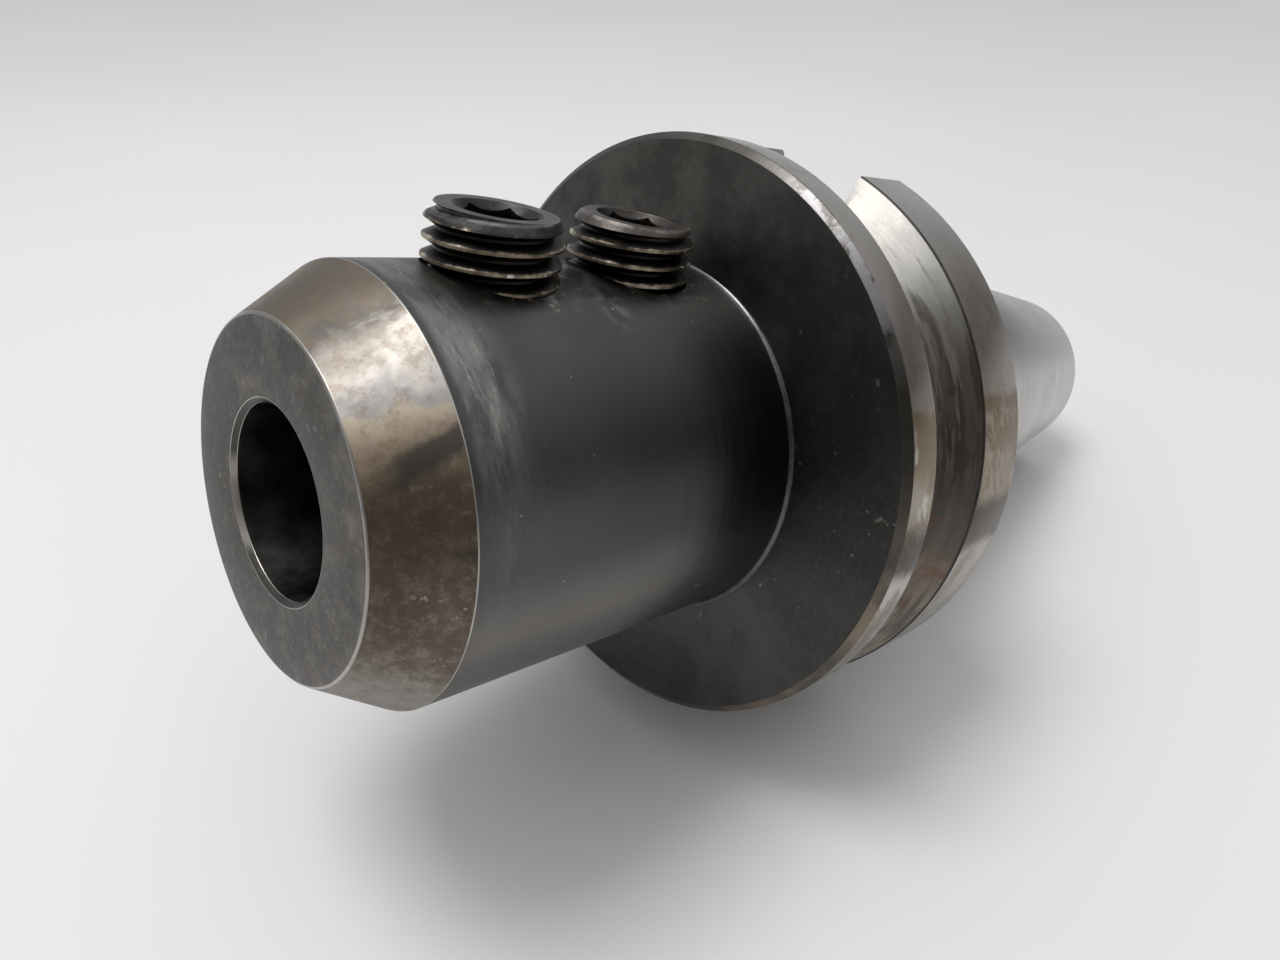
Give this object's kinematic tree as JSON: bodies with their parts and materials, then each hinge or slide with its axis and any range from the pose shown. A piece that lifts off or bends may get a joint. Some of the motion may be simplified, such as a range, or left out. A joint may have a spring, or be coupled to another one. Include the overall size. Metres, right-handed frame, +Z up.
{
  "type": "side-lock end mill holder",
  "caption": "Machine-spindle tool holder with a steep taper shank, a gripper flange and a bored nose where side clamp screws lock an end mill.",
  "frame": {"origin": "on the axis, at the gauge plane of the taper where its diameter is 69.85 mm", "axes": "+X along the axis out of the small end of the taper, so the nose points along -X; +Z up along the clamp screws, out of their sockets; +Y completes a right-handed frame"},
  "size_m": [0.2068, 0.1, 0.1],
  "materials": {
    "holder_steel": "black oxide on the nose and flange face, bare ground steel on the taper, rims and nose cone",
    "screw_steel": "oily black oxide with crests worn bright"
  },
  "bodies": {
    "holder": {"holder_body": "holder_steel"},
    "front_screw": {"front_clamp_screw": "screw_steel"},
    "rear_screw": {"rear_clamp_screw": "screw_steel"}
  },
  "joints": [
    {"name": "front_screw_travel", "type": "slide", "parent": "holder", "child": "front_screw", "axis": [0, 0, 1], "range_m": [-0.0067, 0.0105]},
    {"name": "rear_screw_travel", "type": "slide", "parent": "holder", "child": "rear_screw", "axis": [0, 0, 1], "range_m": [-0.0065, 0.0107]}
  ]
}
